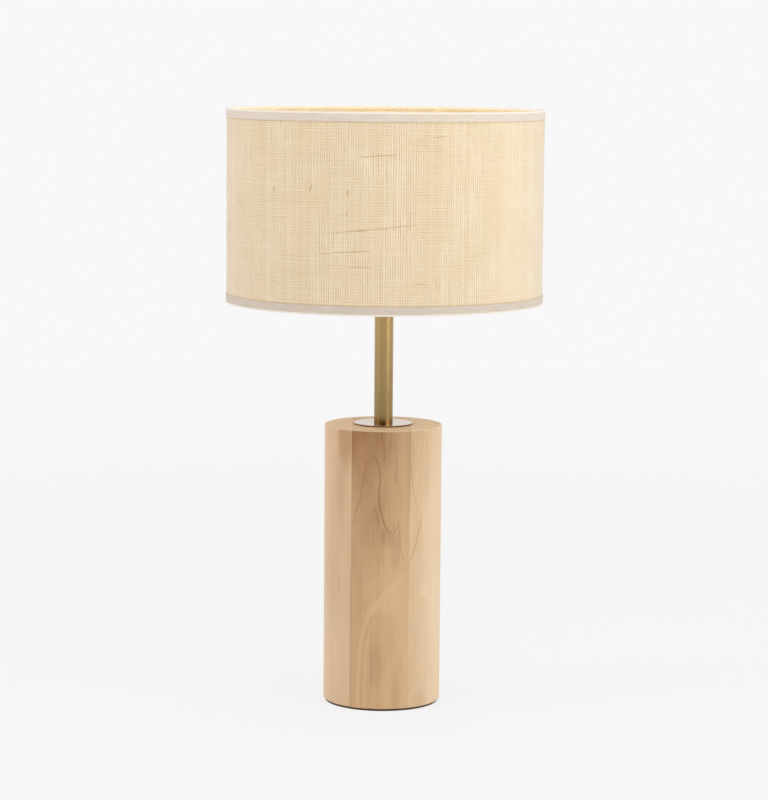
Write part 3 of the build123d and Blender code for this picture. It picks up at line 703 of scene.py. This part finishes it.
MATERIALS = {
    "felt": felt(),
    "dark_plastic": moulded("dark_plastic", rgb(38, 36, 34), rgb(58, 54, 50), 0.48),
    "zinc_steel": turned_metal("zinc_steel", rgb(150, 150, 148), rgb(196, 196, 192), 0.36),
    "polished_brass": polished_brass(),
    "brushed_brass": brushed_brass(),
    "white_plastic": moulded("white_plastic", rgb(232, 230, 224), rgb(242, 241, 236), 0.38),
    "porcelain": moulded("porcelain", rgb(236, 233, 224), rgb(248, 246, 240), 0.16, 0.3, 0.00005),
    "contact_brass": turned_metal("contact_brass", rgb(196, 158, 88), rgb(224, 190, 124), 0.3),
    "white_enamel": enamel(),
    "shade_film": shade_film(),
    "raffia": raffia(),
    "cotton_tape": cotton("cotton_tape", rgb(206, 189, 173), rgb(234, 222, 209), SHADE_HIGH),
    "bulb_glass": moulded("bulb_glass", rgb(28, 26, 30), rgb(52, 48, 54), 0.12, 0.5, 0.00002),
    "nickel": turned_metal("nickel", rgb(176, 172, 164), rgb(212, 208, 200), 0.24),
    "bulb_plastic": moulded("bulb_plastic", rgb(236, 235, 230), rgb(246, 245, 242), 0.42),
    "aluminium_plate": turned_metal(
        "aluminium_plate", rgb(190, 190, 190), rgb(222, 222, 220), 0.42
    ),
    "opal_plastic": opal(),
}
# painted shade: the lower tape is a darker copy of the tape's colours, as less light reaches it
SHADED_LOWER_TAPE = cotton("lower_cotton_tape", rgb(188, 172, 156), rgb(220, 207, 193), SHADE_LOW)
STRAND = strand()
PINKISH = (rgb(168, 126, 89), rgb(219, 191, 157))
BROWNISH = (rgb(136, 93, 56), rgb(200, 165, 125))
PALE = (rgb(162, 121, 84), rgb(219, 194, 160))
BOARDS = {
    "wood_board_left": wood("wood_left", *PINKISH, (-150, 60), 3.0, left_figure),
    "wood_board_core": wood("wood_core", *BROWNISH, (-20, 190), 11.0, core_figure),
    "wood_board_right": wood("wood_right", *PALE, (170, 90), 27.0, right_figure),
}

for node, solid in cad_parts.items():
    slot = solid.material_slots[0].material.name
    solid.material_slots[0].material = BOARDS.get(node) or MATERIALS[slot]


# ---------------------------------------------------------------- woven cover
TURN_STEPS = 720              # faces round the shade
COVER_ROWS = 48               # faces up the woven cover
COVER_GAP = 0.05 * MM         # between the lining and the cover
RIPPLE = 0.12 * MM


def cover():
    """Woven sheet round the lining, with the raised lapped seam at the back."""
    inner = LINER_R + COVER_GAP
    rise = (SHADE_HIGH - SHADE_LOW) / COVER_ROWS
    face = [(SHADE_R, SHADE_LOW + rise * i) for i in range(COVER_ROWS + 1)]
    outline = [(inner, SHADE_LOW)] + face + [(inner, SHADE_HIGH)]
    lap = LAP_HALF * MM / SHADE_R

    def bend(r, z, angle):
        if r < SHADE_R - 1e-6:
            return r, z
        from_back = abs(angle - pi)
        ridge = min(max((lap - from_back) / (0.12 * lap), 0), 1)
        over_lower = min(max((z - LOWER_TRIM_TOP) / MM, 0), 1)
        under_upper = min(max((UPPER_TRIM_LOW - z) / MM, 0), 1)
        ripple = RIPPLE * perlin.noise(Vector((angle * 9, z * 40, 1.5)))
        return r + ridge * over_lower * under_upper * LAP_PROUD + ripple * (1 - ridge), z

    points, faces = turned(outline, TURN_STEPS, bend)
    return add_mesh("cover", points, faces, MATERIALS["raffia"], "shade")


def slub(name, pixels, half_w, proud):
    """A strand that lies on the weave through pixels, thin at both ends."""
    spots = [on_cylinder(px, py, SHADE_R) for px, py in pixels]
    steps, sides = 10, 6
    line = [spot for pair in zip(spots, spots[1:]) for spot in run(*pair, steps)] + spots[-1:]
    points, faces = [], []
    for number, (a, z) in enumerate(line):
        share = number / (len(line) - 1)
        # thin at both ends, and a little uneven in width and course
        size = sin(pi * min(max(share, 0.02), 0.98)) ** 0.4
        size *= 0.8 + 0.4 * perlin.noise(Vector((a * 300, z * 300, 7.0)))
        z += 0.25 * MM * perlin.noise(Vector((a * 90, z * 30, 2.0)))
        nxt, last = line[min(number + 1, len(line) - 1)], line[max(number - 1, 0)]
        run_a, run_z = nxt[0] - last[0], nxt[1] - last[1]
        long = hypot(run_a, run_z) or 1.0
        for side in range(sides):
            turn = 2 * pi * side / sides
            off = half_w * MM * size * cos(turn)
            r = SHADE_R + proud * MM * size * sin(turn)
            angle = (a - off * run_z / long) / SHADE_R
            points.append((r * sin(angle), -r * cos(angle), z + off * run_a / long))
    for this in range(0, (len(line) - 1) * sides, sides):
        for side in range(sides):
            other = (side + 1) % sides
            faces.append((this + side, this + other, this + sides + other, this + sides + side))
    faces.append(tuple(range(sides)))
    faces.append(tuple(len(points) - 1 - i for i in range(sides)))
    return add_mesh(name, points, faces, STRAND, "shade", 80)


# pixels that each passes through, half its width, and how proud it stands, both in mm
SLUBS = [
    ([(357, 157.2), (370, 156.6), (384, 155.8), (397, 154.9)], 0.6, 0.3),
    ([(326, 233.6), (345, 231.8), (362, 230.8), (380, 228.8), (400, 226.8), (417, 225.4)],
     0.65, 0.32),
    ([(315, 254.0), (335, 252.6), (355, 252.0), (371, 251.2)], 0.55, 0.3),
    ([(348, 267.6), (360, 267.2), (371, 267.8)], 0.5, 0.25),
    ([(411, 285.2), (420, 284.6), (429, 285.0)], 0.5, 0.25),
    ([(433, 138.0), (440, 137.0), (447, 136.2)], 0.45, 0.22),
    ([(311.4, 183.4), (310.9, 187.4), (310.0, 191.8)], 0.85, 0.3),
    ([(347.8, 189.6), (347.6, 193.0), (347.2, 196.4)], 0.75, 0.28),
    ([(346.8, 210.0), (346.9, 213.6), (346.5, 217.2)], 0.6, 0.25),
    ([(274.2, 186.4), (273.4, 190.4)], 0.8, 0.28),
]


# ---------------------------------------------------------------- folded tapes
LINER_T = 0.35 * MM
FREE_EDGE_R = 0.12 * MM       # round of the tape's free edge
FOLD_R = 0.6 * MM             # round of the fold over the shade's edge
PUCKER, WAVE, SWAY = 0.1 * MM, 0.064 * MM, 0.22 * MM
JOIN_AT = 171                 # degrees from the front
JOIN_PROUD = 0.35 * MM


def tape(name, node, material, edge_z, up, width, seed):
    """Tape folded over an edge of the shade and round its wire, slightly puckered.

    up is 1 where the shade is above the edge, and -1 where it is below.
    """
    ring_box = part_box(node.replace("trim", "wire_ring"))
    wire_r = (ring_box[1][2] - ring_box[0][2]) / 2
    wire_at = ring_box[1][0] - wire_r
    sheet_in = LINER_R - LINER_T
    thick = TAPE_R - SHADE_R
    inner_face = sheet_in - thick
    wrap_r = wire_r + thick
    meet = sqrt(wrap_r**2 - (inner_face - wire_at) ** 2)
    # free edge, outer face, fold, round the wire, inner face, and back along the shade
    outline = run((SHADE_R, width), (TAPE_R - FREE_EDGE_R, width), 1)
    outline += arc((TAPE_R - FREE_EDGE_R, width - FREE_EDGE_R), FREE_EDGE_R, 90, 0, 2)
    outline += run((TAPE_R, width - 0.3 * MM), (TAPE_R, FOLD_R), 10)
    outline += arc((TAPE_R - FOLD_R, 0.0), FOLD_R, 0, -90, 5)
    outline += arc((wire_at, wire_r), wrap_r, -90, -270, 14)[1:-3]
    outline += run((inner_face, wire_r + meet + 0.3 * MM), (inner_face, width), 8)
    outline += [(inner_face + 0.1 * MM, width), (sheet_in, width)]
    outline += run((sheet_in, width - 0.5 * MM), (sheet_in, 1.0 * MM), 3)
    outline += run((sheet_in, 0.4 * MM), (SHADE_R, 0.4 * MM), 2)
    outline += run((SHADE_R, 0.4 * MM), (SHADE_R, width - 0.4 * MM), 3)
    outline = [(r, edge_z + up * z) for r, z in outline]
    join = radians(JOIN_AT)

    def bend(r, z, angle):
        if r < SHADE_R + 0.2 * MM:
            return r, z
        past = (angle - join) * 60
        lap = 1 / (1 + np.exp(-min(max(past, -30), 30))) if angle < join + 0.09 else 0.0
        pucker = perlin.noise(Vector((angle * 26, z * 160, seed))) * PUCKER
        wave = perlin.noise(Vector((angle * 7, seed, 3.0))) * WAVE
        sway = perlin.noise(Vector((angle * 4, seed, 9.0))) * SWAY
        at_free_edge = abs(z - edge_z) > width * 0.6
        return r + pucker - PUCKER + lap * JOIN_PROUD, z + up * (wave + sway) * at_free_edge

    points, faces = turned(outline, TURN_STEPS, bend)
    made = add_mesh(name, points, faces, material, "shade", 60)
    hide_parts(node)
    return made


LOWER_W = LOWER_TRIM_TOP - SHADE_LOW
UPPER_W = SHADE_HIGH - UPPER_TRIM_LOW

woven = cover()
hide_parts("raffia_cover")
strands = [slub(f"slub_{i + 1}", *spec) for i, spec in enumerate(SLUBS)]
lower_tape = tape("lower_tape", "lower_trim", SHADED_LOWER_TAPE, SHADE_LOW, 1, LOWER_W, 4.0)
upper_tape = tape("upper_tape", "upper_trim", MATERIALS["cotton_tape"], SHADE_HIGH, -1, UPPER_W,
                  8.0)


# ---------------------------------------------------------------- floor, light and background
BACKGROUND = rgb(248, 248, 248)
ROOM = 0.95                   # even light from all round
DIM_SIDE = 0.42               # the camera's side of the room as metal and gloss show it
FLOOR_WHITE_NEAR = 0.8        # the floor's own white, by distance from the lamp
FLOOR_WHITE_FAR = 1.0
FLOOR_NEAR, FLOOR_FAR = 0.5, 3.0
FLOOR_REACH = 60.0
AIM = (0, 0, 0.3)             # where the softboxes point
# name, place, width and height, watts, colour, whether gloss and metal show it
SOFTBOXES = [
    ("softbox_right", (2.1, -1.4, 0.95), (1.7, 1.4), 23, (0.98, 1.0, 1.0), True),
    ("softbox_left", (-2.3, -0.7, 1.1), (1.2, 1.8), 7, (1.0, 0.99, 0.985), True),
    ("fill_left", (-2.3, -0.7, 1.1), (1.2, 1.8), 9, (1.0, 0.99, 0.985), False),
    ("softbox_high", (-0.6, -2.3, 1.9), (1.4, 0.9), 3, (1.0, 0.99, 0.98), True),
]


def smooth_step(tree, value, **limits):
    """Smooth step of a value of the room's or floor's nodes."""
    step = tree.nodes.new("ShaderNodeMapRange")
    step.interpolation_type = "SMOOTHSTEP"
    for socket, limit in limits.items():
        step.inputs[socket.replace("_", " ")].default_value = limit
    tree.links.new(value, step.inputs["Value"])
    return step.outputs["Result"]


def seen_directly(tree):
    """Two outputs: 1 for camera rays, and 1 for camera, glossy and transmission rays."""
    path = tree.nodes.new("ShaderNodeLightPath")
    total = path.outputs["Is Camera Ray"]
    for name in ("Is Glossy Ray", "Is Transmission Ray"):
        most = tree.nodes.new("ShaderNodeMath")
        most.operation = "MAXIMUM"
        tree.links.new(total, most.inputs[0])
        tree.links.new(path.outputs[name], most.inputs[1])
        total = most.outputs[0]
    return path.outputs["Is Camera Ray"], total


def room():
    """White backdrop; the room it stands in is dimmer towards the camera."""
    world = bpy.data.worlds.new("room")
    bpy.context.scene.world = world
    world.use_nodes = True
    tree = world.node_tree
    nodes, links = tree.nodes, tree.links
    shader = nodes["Background"]
    by_camera, directly = seen_directly(tree)
    way = nodes.new("ShaderNodeTexCoord")
    split = nodes.new("ShaderNodeSeparateXYZ")
    links.new(way.outputs["Generated"], split.inputs[0])
    dim = smooth_step(
        tree, split.outputs["Y"], From_Min=-0.95, From_Max=-0.1, To_Min=DIM_SIDE, To_Max=1.0
    )
    # a Mix node's inputs 2 and 3 are its two numbers
    lit = nodes.new("ShaderNodeMix")
    lit.inputs[2].default_value = ROOM
    links.new(directly, lit.inputs[0])
    links.new(dim, lit.inputs[3])
    strength = nodes.new("ShaderNodeMix")
    strength.inputs[3].default_value = 1.0
    links.new(by_camera, strength.inputs[0])
    links.new(lit.outputs[0], strength.inputs[2])
    links.new(strength.outputs[0], shader.inputs["Strength"])
    shader.inputs["Color"].default_value = BACKGROUND


def floor():
    """Pale sweep that keeps the lamp's soft shadow."""
    mesh = bpy.data.meshes.new("floor")
    far = FLOOR_REACH
    corners = [(-far, -far, 0), (far, -far, 0), (far, far, 0), (-far, far, 0)]
    mesh.from_pydata(corners, [], [(0, 1, 2, 3)])
    sweep = bpy.data.objects.new("floor", mesh)
    bpy.context.scene.collection.objects.link(sweep)
    material = bpy.data.materials.new("floor")
    material.use_nodes = True
    tree = material.node_tree
    nodes, links = tree.nodes, tree.links
    nodes.remove(nodes["Principled BSDF"])
    matt = nodes.new("ShaderNodeBsdfDiffuse")
    matt.inputs["Color"].default_value = rgb(233, 233, 232)
    white = nodes.new("ShaderNodeEmission")
    white.inputs["Color"].default_value = BACKGROUND
    white.inputs["Strength"].default_value = 1.0
    place = nodes.new("ShaderNodeTexCoord")
    distance = nodes.new("ShaderNodeVectorMath")
    distance.operation = "LENGTH"
    links.new(place.outputs["Object"], distance.inputs[0])
    own = smooth_step(
        tree, distance.outputs["Value"], From_Min=FLOOR_NEAR, From_Max=FLOOR_FAR,
        To_Min=FLOOR_WHITE_NEAR, To_Max=FLOOR_WHITE_FAR,
    )
    share = nodes.new("ShaderNodeMath")
    share.operation = "MULTIPLY"
    links.new(seen_directly(tree)[1], share.inputs[0])
    links.new(own, share.inputs[1])
    mixed = nodes.new("ShaderNodeMixShader")
    links.new(share.outputs[0], mixed.inputs[0])
    links.new(matt.outputs[0], mixed.inputs[1])
    links.new(white.outputs[0], mixed.inputs[2])
    links.new(mixed.outputs[0], nodes["Material Output"].inputs["Surface"])
    mesh.materials.append(material)


def softbox(name, at, size, watts, colour, in_gloss):
    """Soft rectangular light that points at AIM."""
    data = bpy.data.lights.new(name, "AREA")
    data.shape = "RECTANGLE"
    data.size, data.size_y = size
    data.energy = watts
    data.color = colour
    lamp = bpy.data.objects.new(name, data)
    lamp.location = at
    lamp.rotation_euler = (Vector(AIM) - Vector(at)).to_track_quat("-Z", "Y").to_euler()
    lamp.visible_glossy = in_gloss
    bpy.context.scene.collection.objects.link(lamp)


room()
floor()
for spec in SOFTBOXES:
    softbox(*spec)

bpy.context.scene.view_settings.view_transform = "Standard"
